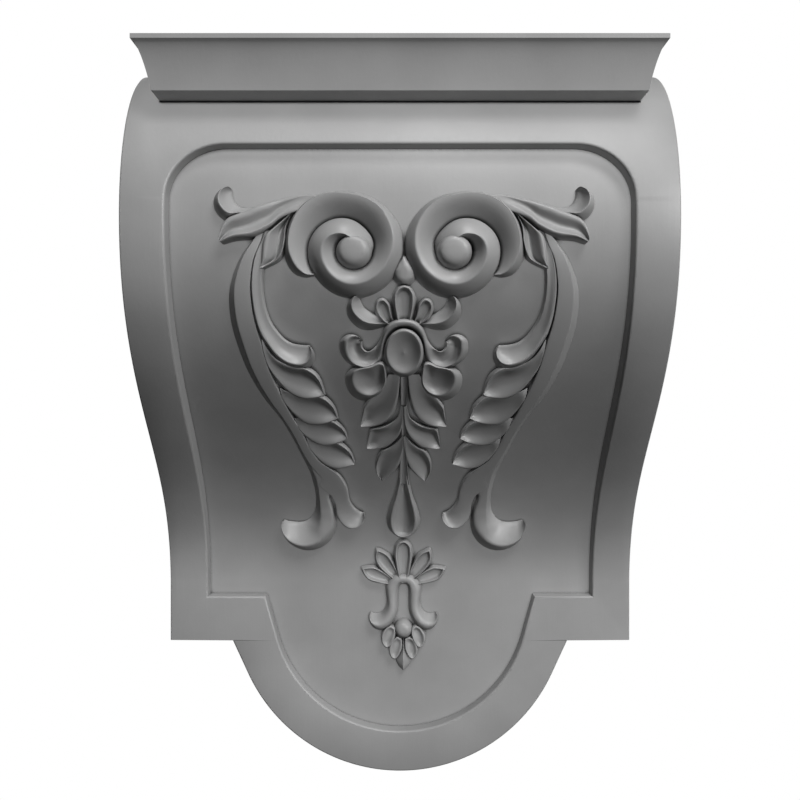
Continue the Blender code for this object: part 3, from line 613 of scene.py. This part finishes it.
def paint_material():
    """Satin grey paint, brushed on by hand over carved wood, with painted shade darkening its hollows and
    joints.
    """
    found = bpy.data.materials.get("satin_grey_paint")
    if found:
        return found
    finish = sizes("onlay_finish")
    material = bpy.data.materials.new("satin_grey_paint")
    material.use_nodes = True
    tree = material.node_tree
    nodes, links = tree.nodes, tree.links
    shader = nodes["Principled BSDF"]
    shader.inputs["Specular IOR Level"].default_value = 0.4
    brushed = nodes.new("ShaderNodeGroup")
    brushed.node_tree = brushed_paint_group()
    colour = colour_mix(tree, brushed.outputs["Thin mask"], finish.thin)
    colour.inputs[FIRST_COLOUR].default_value = finish.paint
    # Painted shade: ambient occlusion darkens the paint towards near-black in hollows, joints and round the
    # carving's foot
    painted_crevice_shade = nodes.new("ShaderNodeAmbientOcclusion")
    painted_crevice_shade.samples = 6
    painted_crevice_shade.inputs["Distance"].default_value = finish.painted_shade_reach
    darkened = colour_mix(tree, remap(tree, painted_crevice_shade.outputs["AO"], PAINTED_SHADE_OPENNESS), finish.painted_crevice_shade)
    links.new(colour.outputs[MIXED_COLOUR], darkened.inputs[FIRST_COLOUR])
    links.new(darkened.outputs[MIXED_COLOUR], shader.inputs["Base Color"])
    smooth, rough = (finish.roughness + change for change in ROUGHNESS_CHANGE)
    links.new(remap(tree, brushed.outputs["Height"], (0, 1), (smooth, rough)), shader.inputs["Roughness"])
    bump = nodes.new("ShaderNodeBump")
    bump.inputs["Strength"].default_value = 0.1
    bump.inputs["Distance"].default_value = 0.0006
    links.new(brushed.outputs["Height"], bump.inputs["Height"])
    links.new(bump.outputs["Normal"], shader.inputs["Normal"])
    return material


def taken(thing):
    """The evaluated object's mesh as a builder. The object goes."""
    bpy.context.view_layer.update()
    mesh = bpy.data.meshes.new_from_object(thing.evaluated_get(bpy.context.evaluated_depsgraph_get()))
    bpy.data.objects.remove(thing)
    builder = bmesh.new()
    builder.from_mesh(mesh)
    bpy.data.meshes.remove(mesh)
    return builder


def flat_prism(name, outline, near, far):
    """A flat outline of (across, up) pairs made solid between two depths along Y."""
    curve = bpy.data.curves.new(name, "CURVE")
    curve.dimensions = "2D"
    curve.fill_mode = "BOTH"
    curve.extrude = abs(far - near) / 2
    line = curve.splines.new("POLY")
    line.points.add(len(outline) - 1)
    for point, (across, up) in zip(line.points, outline):
        point.co = (across, up, 0, 1)
    line.use_cyclic_u = True
    drawn = bpy.data.objects.new(name, curve)
    bpy.context.scene.collection.objects.link(drawn)
    builder = taken(drawn)
    bpy.data.curves.remove(curve)
    upright = Matrix(((1, 0, 0, 0), (0, 0, -1, (near + far) / 2), (0, 1, 0, 0), (0, 0, 0, 1)))
    bmesh.ops.transform(builder, matrix=upright, verts=builder.verts)
    bmesh.ops.remove_doubles(builder, verts=builder.verts, dist=TOUCH)
    bmesh.ops.recalc_face_normals(builder, faces=builder.faces)
    return placed(name, builder)


def cut_away(target, cutter):
    """A Boolean difference, worked out at once, as a builder. Both objects go."""
    modifier = target.modifiers.new("cut", "BOOLEAN")
    modifier.operation = "DIFFERENCE"
    modifier.object = cutter
    builder = taken(target)
    bpy.data.objects.remove(cutter)
    return builder


def tongue_arc(size, step_half_width, step_height, radius):
    """From the right end of the step, round the tongue, to its left end: a tangent, the arc and a tangent."""
    rise = step_height - size.tongue_centre
    away = math.hypot(step_half_width, rise)
    touch = math.atan2(rise, step_half_width) - math.acos(radius / away)
    turns = np.linspace(touch, -math.pi - touch, ARC_STEPS)
    arc = [(radius * math.cos(a), size.tongue_centre + radius * math.sin(a)) for a in turns]
    return [(step_half_width, step_height), *arc, (-step_half_width, step_height)]


def body_outline(size):
    return [
        (-size.half_width, size.shoulder_height),
        (-size.half_width, size.top),
        (size.half_width, size.top),
        (size.half_width, size.shoulder_height),
        *tongue_arc(size, size.shoulder_inner, size.shoulder_height, size.tongue_radius),
    ]


def panel_outline(size):
    turns = np.linspace(0, math.pi / 2, CORNER_STEPS)
    radius = size.panel_corner
    inset, top = size.panel_half_width - radius, size.panel_top - radius
    corner = [(inset + radius * math.cos(a), top + radius * math.sin(a)) for a in turns]
    return [
        *[(-across, up) for across, up in corner],
        *reversed(corner),
        (size.panel_half_width, size.panel_step),
        *tongue_arc(size, size.panel_step_inner, size.panel_step, size.panel_tongue_radius),
        (-size.panel_half_width, size.panel_step),
    ]


def round_edges(builder, wanted, width, segments):
    edges = [edge for edge in builder.edges if len(edge.link_faces) == 2 and wanted(edge)]
    bmesh.ops.bevel(builder, geom=edges, offset=width, segments=segments, profile=0.5, affect="EDGES")


def flat_board(size):
    """The body as a flat board with its sunk panel, its edges rounded, before it is bent to the S-shape."""
    board = flat_prism("board", body_outline(size), 0, -size.thickness)
    floor = -(size.thickness - size.panel_sink)
    pocket = flat_prism("pocket", panel_outline(size), floor, -3 * size.thickness)
    builder = cut_away(board, pocket)
    bmesh.ops.dissolve_limit(builder, angle_limit=FLAT_ANGLE, verts=builder.verts, edges=builder.edges)

    def is_front_edge(edge):
        """Whether it is between a face in the front and one that looks sideways."""
        first, second = (abs(face.normal.y) for face in edge.link_faces)
        in_front = all(abs(vert.co.y + size.thickness) < TOUCH for vert in edge.verts)
        return in_front and abs(first - second) > SIDEWAYS

    def is_lip(edge):
        middle = (edge.verts[0].co + edge.verts[1].co) / 2
        reach = math.hypot(middle.x, middle.z - size.tongue_centre)
        in_panel = abs(middle.x) < size.panel_half_width + NEAR and middle.z < size.panel_top + NEAR
        in_tongue = reach < size.panel_tongue_radius + TANGENT_REACH
        return is_front_edge(edge) and in_panel and (middle.z > size.panel_step - NEAR or in_tongue)

    def is_arris(edge):
        return is_front_edge(edge) and any(abs(vert.co.z - size.top) > TOUCH for vert in edge.verts)

    round_edges(builder, is_lip, size.lip, segments=5)
    round_edges(builder, is_arris, size.arris, segments=3)
    bmesh.ops.triangulate(builder, faces=builder.faces)
    return builder


def bend(builder, size):
    """Slices the board at each step of the profile and moves its front out to the S-shaped face."""
    surfaces = Surfaces(size)
    for level in surfaces.face_heights[1:-1]:
        geometry = [*builder.verts, *builder.edges, *builder.faces]
        bmesh.ops.bisect_plane(builder, geom=geometry, dist=WELD, plane_co=(0, 0, level), plane_no=(0, 0, 1))
    for vert in builder.verts:
        if vert.co.y > -NEAR:
            continue
        sunk = (size.thickness + vert.co.y) / size.panel_sink
        face, panel = surfaces.face(vert.co.z), surfaces.panel(vert.co.z)
        vert.co.y = -(size.thickness + face - sunk * (face - panel))


def crown_rings(size, top, grow, drop):
    """Rectangles from the underside up: a cove that projects at the front and both sides, then a fillet."""
    thickness = sizes("onlay_body").thickness
    back = -(thickness + size.back_depth - grow)
    rise = size.cove_top - size.bottom
    levels = [(step / COVE_STEPS, size.bottom + rise * step / COVE_STEPS) for step in range(COVE_STEPS + 1)]
    levels[0] = (0, size.bottom - drop)
    levels.append((1, top + grow))
    rings = []
    for share, up in levels:
        round_share = 1 - math.sqrt(1 - share * share)
        project = size.projection * (COVE_SLANT * share + (1 - COVE_SLANT) * round_share) + grow
        wide = size.half_width + project
        front = -(thickness + size.depth + project)
        rings.append([(-wide, front, up), (wide, front, up), (wide, back, up), (-wide, back, up)])
    return rings


def loft(builder, rings, folds=False):
    """One closed shell through rings of equal count. The last one is capped, or folds along its middle."""
    rows = [[builder.verts.new(point) for point in ring] for ring in rings]
    count = len(rows[0])
    faces = [builder.faces.new(rows[0])]
    if not folds:
        faces.append(builder.faces.new(rows[-1]))
    for near, far in zip(rows, rows[1:]):
        for i in range(count):
            j = (i + 1) % count
            faces.append(builder.faces.new((near[i], near[j], far[j], far[i])))
    bmesh.ops.recalc_face_normals(builder, faces=faces)
    if folds:
        bmesh.ops.remove_doubles(builder, verts=rows[-1], dist=WELD)


def spline(stations, steps):
    """Catmull-Rom through the stations, with this many steps a span."""
    given = np.array(stations, float)
    padded = np.vstack([2 * given[0] - given[1], given, 2 * given[-1] - given[-2]])
    points = []
    for i in range(len(given) - 1):
        a, b, c, d = padded[i : i + 4]
        for step in range(steps):
            t = step / steps
            bent = (2 * a - 5 * b + 4 * c - d) * t**2 + (3 * b - a - 3 * c + d) * t**3
            points.append(0.5 * (2 * b + (c - a) * t + bent))
    points.append(given[-1])
    return np.array(points)


class Carver:
    """Builds the ornament's shells over the panel."""

    def __init__(self):
        self.builder = bmesh.new()
        self.surfaces = Surfaces(sizes("onlay_body"))
        self.size = sizes("onlay_ornament")
        self.foot = self.size.foot / MM

    def ring(self, side, places):
        return [
            self.surfaces.over_panel(side, out * MM, up * MM, max(self.foot, tall) * MM)
            for out, up, tall in places
        ]

    def outline(self, marks):
        """A section or profile as a smooth line of a set number of points."""
        line = spline(marks, TABLE_STEPS)
        places = np.linspace(0, len(line) - 1, self.size.section_points)
        return np.stack([np.interp(places, range(len(line)), column) for column in line.T], axis=1)

    def strip(self, side, stations, sections, level_tip=True):
        """Carving between two edges. Its section changes along it, and it can be level at the tip."""
        shares = [share for share, _ in sections]
        outlines = [self.outline(section) for _, section in sections]
        line = spline(stations, self.size.steps)
        widths = np.hypot(line[:, 0] - line[:, 2], line[:, 1] - line[:, 3])
        narrow = np.clip(widths / (LEVEL_WIDTH * max(widths)), 0, 1)
        rings = []
        for i, (plus_out, plus_up, minus_out, minus_up, tall) in enumerate(line):
            place = np.interp(i / (len(line) - 1), shares, range(len(shares)))
            before = min(int(place), len(shares) - 1)
            after = min(before + 1, len(shares) - 1)
            share = place - before
            marks = outlines[before] + (outlines[after] - outlines[before]) * share * share * (3 - 2 * share)
            dent = 1 - (1 - narrow[i]) ** 2 if level_tip else 1
            places = [(minus_out, minus_up, 0)]
            for across, share_up in reversed(marks):
                part = (across + 1) / 2
                places.append((
                    minus_out + (plus_out - minus_out) * part,
                    minus_up + (plus_up - minus_up) * part,
                    tall * (1 - (1 - share_up) * dent),
                ))
            rings.append(self.ring(side, [*places, (plus_out, plus_up, 0)]))
        loft(self.builder, rings)

    def closed(self, side, outline, cores, profile, shift):
        """Rings from an outline in to each point's core, at the shares of their heights in the profile."""
        rows = []
        for inset, share_up in [(0, 0), *self.outline(profile)]:
            moved = (1 - (1 - inset) ** 2) * (1 - inset)
            rows.append(self.ring(side, [
                (
                    out + (core[0] - out) * inset + shift[0] * moved,
                    up + (core[1] - up) * inset + shift[1] * moved,
                    share_up * (tall + (core[2] - tall) * inset),
                )
                for (out, up, tall), core in zip(outline, cores)
            ]))
        loft(self.builder, rows, folds=True)

    def pad(self, side, stations, profile, spine, pointed=False):
        """A closed form along a centreline, with round or pointed ends."""
        power = 1 if pointed else 2
        given = np.array(stations, float)
        given[:, 2] **= power
        line = spline(given, self.size.steps)
        line[:, 2] = np.maximum(line[:, 2], THINNEST) ** (1 / power)
        ways = np.gradient(line[:, :2], axis=0)
        ways /= np.linalg.norm(ways, axis=1)[:, None]
        count = len(line)
        outline, cores = [], []
        for turn, order in ((1, range(count)), (-1, reversed(range(count)))):
            for i in order:
                out, up, half_width, tall = line[i]
                across = turn * half_width
                outline.append((out - across * ways[i][1], up + across * ways[i][0], tall))
                core = line[round((count - 1) * min(spine[1], max(spine[0], i / (count - 1))))]
                cores.append((core[0], core[1], core[3]))
        self.closed(side, outline, cores, profile, NO_SHIFT)

    def oval(self, side, form, profile):
        """A closed form with an ellipse for its outline."""
        out, up, half_width, half_height, tall = form
        turns = np.linspace(0, 2 * math.pi, self.size.oval_points, endpoint=False)
        outline = [(out + half_width * math.cos(a), up + half_height * math.sin(a), tall) for a in turns]
        self.closed(side, outline, [(out, up, tall)] * len(turns), profile, NO_SHIFT)

    def loop(self, side, points, core, profile, shift):
        """A closed form with a free outline, whose rings run in to one point."""
        given = [(*point, core[2]) for point in points]
        line = spline([*given[-2:], *given, *given[:3]], self.size.steps)
        outline = line[2 * self.size.steps : -2 * self.size.steps - 1]
        self.closed(side, outline, [core] * len(outline), profile, shift)

    def volute(self, side):
        """The coils: a round outer shoulder, a crest and a channel that runs in under the next coil."""
        table = spline(VOLUTE, TABLE_STEPS)
        rings = []
        for turn in np.linspace(VOLUTE[0][0], VOLUTE[-1][0], self.size.volute_steps):
            outer, crest, top = (np.interp(turn, table[:, 0], table[:, column]) for column in (1, 2, 3))
            if turn < VOLUTE_INSIDE[0][0]:
                inner = np.interp(turn + 4, table[:, 0], table[:, 1]) - VOLUTE_UNDERLAP
            else:
                inner = np.interp(turn, *VOLUTE_INSIDE)
            inner = max(VOLUTE_HEART, min(inner, crest - 1))
            low = VOLUTE_SHOULDER * top
            marks = [(outer, 0)]
            for share in SHOULDER_SHARES:
                rise = SHOULDER_ROUND * math.sqrt(1 - (1 - share) ** 2) + (1 - SHOULDER_ROUND) * share
                marks.append((outer + (crest - outer) * share, low + (top - low) * rise))
            for share in CHANNEL_SHARES:
                fall = (1 - CHANNEL_DISH) * share + CHANNEL_DISH * share**2
                marks.append((crest + (inner - crest) * share, top + (VOLUTE_FLOOR - top) * fall))
            marks.append((inner, 0))
            across, along = math.cos(turn * math.pi / 2), math.sin(turn * math.pi / 2)
            rings.append(self.ring(side, [
                (VOLUTE_CENTRE[0] + across * radius, VOLUTE_CENTRE[1] + along * radius, tall)
                for radius, tall in marks
            ]))
        loft(self.builder, rings)


def carve_scroll(carver, side):
    stem_sections = ((0, WALLED), (0.53, WALLED), (0.59, JOINED), (0.66, JOINED), (0.9, SCOOPED))
    carver.strip(side, STEM, stem_sections)
    carver.strip(side, HOOK, ((0, FLAT), (0.25, FLAT), (0.6, HOOKED)), level_tip=False)
    carver.strip(side, BAND, ((0, BANDED), (0.7, CUPPED)))
    carver.strip(side, FAR_CURL, ((0, CURLED),))
    for stations in SCROLL_LEAVES:
        carver.strip(side, stations, ((0, LEVEL), (0.6, LEAFED)))
    carver.strip(side, UPPER_LEAF, ((0, LEVEL), (0.35, CRESTED)))
    carver.strip(side, SMALL_LEAF, ((0.7, FOLDED), (1, LEVEL)))
    carver.volute(side)
    carver.oval(side, EYE, EYED)


def carve_drop(carver):
    for side in (-1, 1):
        carver.strip(side, UPPER_CURL, ((0, CURLED),))
        carver.loop(side, LOBE, LOBE_CORE, LOBED, LOBE_SHIFT)
        carver.pad(side, SIDE_PETAL, PETAL, spine=(0.1, 0.55))
        for stations in DROP_LEAVES:
            carver.strip(side, stations, ((0, LEVEL), (0.6, LEAFED)))
        carver.strip(side, COLLAR, ((0.25, ROUND), (0.45, LIPPED), (0.7, KNOBBED)), level_tip=False)
    carver.strip(1, DROP_STEM, ((0, BANDED),))
    carver.pad(1, TEARDROP, DISHED, spine=(0.35, 0.82))
    carver.pad(1, BEAD, DOMED, spine=(0.35, 0.5))
    carver.pad(1, CENTRE_PETAL, PETAL, spine=(0.05, 0.6))
    carver.oval(1, BOSS, BUTTON)


def carve_pendant(carver):
    for side in (-1, 1):
        for stations in PENDANT_PETALS:
            carver.pad(side, stations, PETAL, spine=(0.05, 0.66), pointed=True)
        for stations in BUDS:
            carver.pad(side, stations, BUDDED, spine=(0.3, 0.7))
        carver.strip(side, PENDANT_ARCH, ((0.3, ROUND), (1, TUSKED)), level_tip=False)
    carver.pad(1, PENDANT_TOP_PETAL, PETAL, spine=(0.05, 0.62))
    carver.pad(1, LAST_BUD, RIDGED, spine=(0.02, 0.98), pointed=True)
    carver.oval(1, BALL, DOMED)


class ONLAY_OT_body(bpy.types.Operator):
    """Make the bracket's body with its sunk panel and the crown's seat."""

    bl_idname = "onlay.body"
    bl_label = "Body"

    def execute(self, context):
        size, crown = sizes("onlay_body"), sizes("onlay_crown")
        board, seat = flat_board(size), bmesh.new()
        bend(board, size)
        loft(seat, crown_rings(crown, size.top, crown.joint, crown.shadow_gap))
        body = cut_away(placed("bent_board", board), placed("crown_seat", seat))
        dressed("bracket_body", body, "body", sharp_angle=32)
        return {"FINISHED"}


class ONLAY_OT_crown(bpy.types.Operator):
    """Make the crown moulding."""

    bl_idname = "onlay.crown"
    bl_label = "Crown"

    def execute(self, context):
        builder = bmesh.new()
        loft(builder, crown_rings(sizes("onlay_crown"), CROWN_HIGH[2], 0, 0))
        dressed("crown_moulding", builder, "crown", sharp_angle=30)
        return {"FINISHED"}


class ONLAY_OT_scrolls(bpy.types.Operator):
    """Carve the applied scrolls and the hanging flower drop."""

    bl_idname = "onlay.scrolls"
    bl_label = "Acanthus scrolls"

    def execute(self, context):
        carver = Carver()
        for side in (-1, 1):
            carve_scroll(carver, side)
        carve_drop(carver)
        dressed("scrolls_and_drop", carver.builder, "acanthus_scrolls", sharp_angle=60)
        return {"FINISHED"}


class ONLAY_OT_pendant(bpy.types.Operator):
    """Carve the small pendant under the drop."""

    bl_idname = "onlay.pendant"
    bl_label = "Lower pendant"

    def execute(self, context):
        carver = Carver()
        carve_pendant(carver)
        dressed("small_pendant", carver.builder, "lower_pendant", sharp_angle=60)
        return {"FINISHED"}


def area_light(name, place, aim, width, power, shadow=True, sheen=True):
    data = bpy.data.lights.new(name, "AREA")
    data.shape = "SQUARE"
    data.size = width
    data.energy = power
    data.use_shadow = shadow
    lamp = bpy.data.objects.new(name, data)
    bpy.context.scene.collection.objects.link(lamp)
    lamp.location = place
    lamp.rotation_euler = (Vector(aim) - Vector(place)).to_track_quat("-Z", "Y").to_euler()
    lamp.visible_glossy = sheen


def pale_world(shown, lighting):
    """White behind the piece, and a much dimmer light from all round."""
    world = bpy.data.worlds.new("pale_room")
    world.use_nodes = True
    tree = world.node_tree
    background = tree.nodes["Background"]
    path = tree.nodes.new("ShaderNodeLightPath")
    strength = remap(tree, path.outputs["Is Camera Ray"], (0, 1), (lighting, shown))
    tree.links.new(strength, background.inputs["Strength"])
    background.inputs["Color"].default_value = (1, 1, 1, 1)
    bpy.context.scene.world = world


def pale_floor():
    """A floor that throws no light and no reflection on the piece."""
    bpy.ops.mesh.primitive_plane_add(size=1.6, location=(0, -0.3, -0.4))
    floor = bpy.context.active_object
    floor.name = "floor"
    material = bpy.data.materials.new("floor")
    material.use_nodes = True
    shader = material.node_tree.nodes["Principled BSDF"]
    shader.inputs["Base Color"].default_value = sizes("onlay_finish").floor
    shader.inputs["Roughness"].default_value = 0.8
    floor.data.materials.append(material)
    floor.visible_diffuse = False
    floor.visible_glossy = False


class ONLAY_OT_stage(bpy.types.Operator):
    """Set up the floor, the lights and the camera."""

    bl_idname = "onlay.stage"
    bl_label = "Stage"

    def execute(self, context):
        pale_floor()
        belly, middle = (0, -0.08, 0), (0, -0.05, 0)
        area_light("key", (0.557, -1.458, 1.338), belly, width=0.8, power=15)
        area_light("top", (0.196, -1.475, 2.649), belly, width=0.5, power=44, shadow=False)
        area_light("front", (0, -2.2, -0.115), middle, width=0.8, power=3)
        area_light("right", (1.3, -1.65, 0.6), middle, width=0.5, power=34, shadow=False)
        for side in (-1, 1):
            area_light("side", (side * 1.6, 0.7, 0.4), (0, 0, 0), width=0.8, power=24, sheen=False)
        pale_world(shown=1, lighting=0.01)
        lens = bpy.data.cameras.new("camera")
        lens.lens = 50
        camera = bpy.data.objects.new("camera", lens)
        context.scene.collection.objects.link(camera)
        camera.location = (0, -0.52, 0.017)
        camera.rotation_euler = (math.pi / 2, 0, 0)
        context.scene.camera = camera
        context.scene.view_settings.view_transform = "Standard"
        return {"FINISHED"}


class ONLAY_PT_panel(bpy.types.Panel):
    """Lists the onlay's steps and sizes."""

    bl_idname = "ONLAY_PT_panel"
    bl_label = "Bracket onlay"
    bl_space_type = "VIEW_3D"
    bl_region_type = "UI"
    bl_category = "Onlay"

    def draw(self, context):
        for operator in OPERATORS:
            self.layout.operator(operator.bl_idname)
        for name in GROUPS:
            group = sizes(name)
            for key in group.__annotations__:
                self.layout.prop(group, key)


OPERATORS = (ONLAY_OT_body, ONLAY_OT_crown, ONLAY_OT_scrolls, ONLAY_OT_pendant, ONLAY_OT_stage)
GROUPS = {
    "onlay_body": OnlayBodySizes,
    "onlay_crown": OnlayCrownSizes,
    "onlay_ornament": OnlayOrnamentSizes,
    "onlay_finish": OnlayFinish,
}


def register():
    for made in (*GROUPS.values(), *OPERATORS, ONLAY_PT_panel):
        bpy.utils.register_class(made)
    for name, group in GROUPS.items():
        setattr(bpy.types.Scene, name, PointerProperty(type=group))


def unregister():
    for name in GROUPS:
        delattr(bpy.types.Scene, name)
    for made in reversed((*GROUPS.values(), *OPERATORS, ONLAY_PT_panel)):
        bpy.utils.unregister_class(made)


def main():
    register()
    bpy.ops.onlay.body()
    bpy.ops.onlay.crown()
    bpy.ops.onlay.scrolls()
    bpy.ops.onlay.pendant()
    bpy.ops.onlay.stage()


if __name__ == "__main__":
    main()
